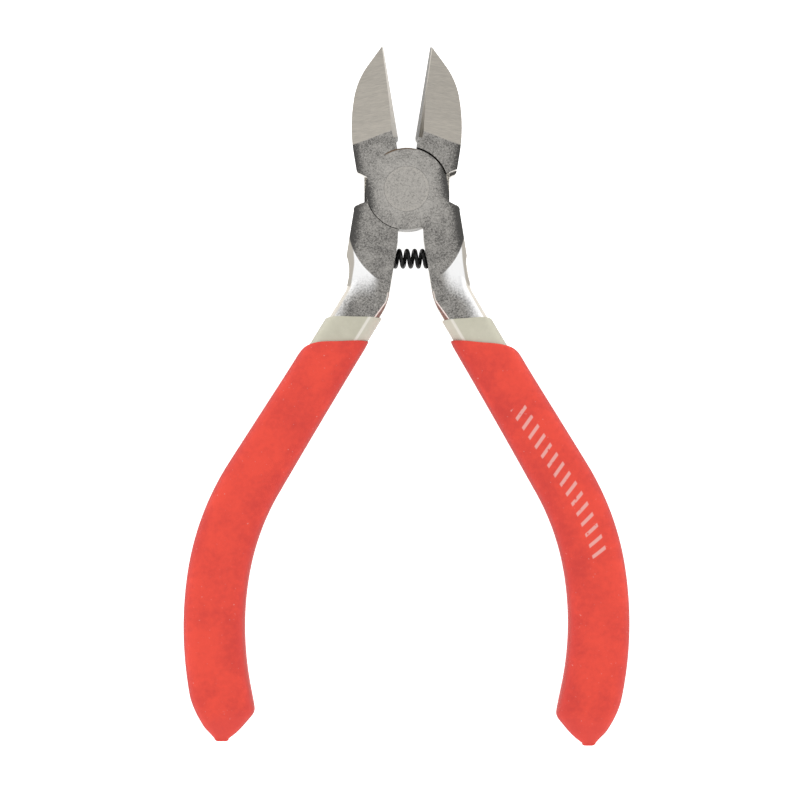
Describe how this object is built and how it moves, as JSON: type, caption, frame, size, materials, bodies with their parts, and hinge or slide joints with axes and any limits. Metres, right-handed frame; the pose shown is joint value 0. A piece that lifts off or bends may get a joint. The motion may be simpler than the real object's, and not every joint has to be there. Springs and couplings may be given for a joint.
{
  "type": "sprue nippers",
  "caption": "Spring-opened diagonal side cutters with a lap joint and dipped handles, for clipping model parts off sprues.",
  "frame": {"origin": "pivot axis where it meets the back face of the joint, which is the face the tool rests on", "axes": "+Z out of the front face, +Y from the pivot towards the blade tips, +X to the right seen from the front"},
  "size_m": [0.0733, 0.1142, 0.008],
  "materials": {
    "forged_steel": "tumbled satin, with ground blades",
    "rivet_steel": "ground flush",
    "spring_steel": "black oxide",
    "inner_dip": "waxy, slightly see-through soft PVC",
    "outer_dip": "matt soft PVC"
  },
  "bodies": {
    "rear_side": {"rear_lever": "forged_steel", "pivot_rivet": "rivet_steel", "return_spring": "spring_steel", "left_inner_sleeve": "inner_dip", "left_outer_grip": "outer_dip"},
    "front_side": {"front_lever": "forged_steel", "right_inner_sleeve": "inner_dip", "right_outer_grip": "outer_dip"}
  },
  "joints": [
    {"name": "pivot", "type": "hinge", "parent": "rear_side", "child": "front_side", "pos_m": [0, 0, 0.004], "axis": [0, 0, -1], "range_deg": [0, 18.3], "stiffness_Nm_per_rad": 1.6, "springref_deg": -5.16, "deforming": ["return_spring"]}
  ]
}
